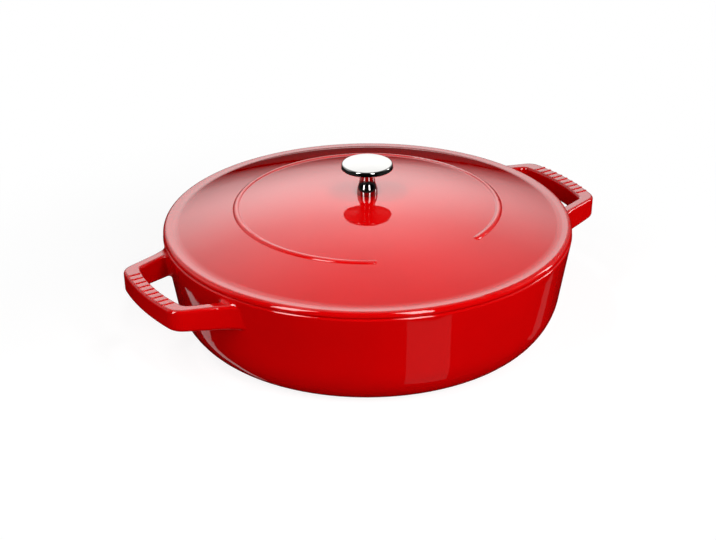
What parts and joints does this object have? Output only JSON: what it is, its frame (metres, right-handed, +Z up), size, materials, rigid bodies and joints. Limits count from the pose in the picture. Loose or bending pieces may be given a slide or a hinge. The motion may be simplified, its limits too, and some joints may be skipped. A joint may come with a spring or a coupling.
{
  "type": "lidded shallow braiser",
  "caption": "Shallow round cast braiser with two cast loop handles, a domed drop-in lid with a raised open ring, and a turned metal knob.",
  "frame": {"origin": "centre of the flat base the pan stands on", "axes": "+Z up through the knob; the two loop handles lie along X; the open side of the lid's ring faces -Y"},
  "size_m": [0.358, 0.2904, 0.1228],
  "materials": {
    "red_enamel": "gloss enamel over cast iron, matte black inside",
    "nickel": "polished plate",
    "screw_steel": "plain"
  },
  "bodies": {
    "pan": {"pan": "red_enamel"},
    "lid": {"lid": "red_enamel", "knob": "nickel", "knob_screw": "screw_steel", "lock_washer": "screw_steel"}
  },
  "joints": [
    {"name": "lid_lift", "type": "slide", "parent": "pan", "child": "lid", "axis": [0, 0, 1], "range_m": [0, 0.12]}
  ]
}
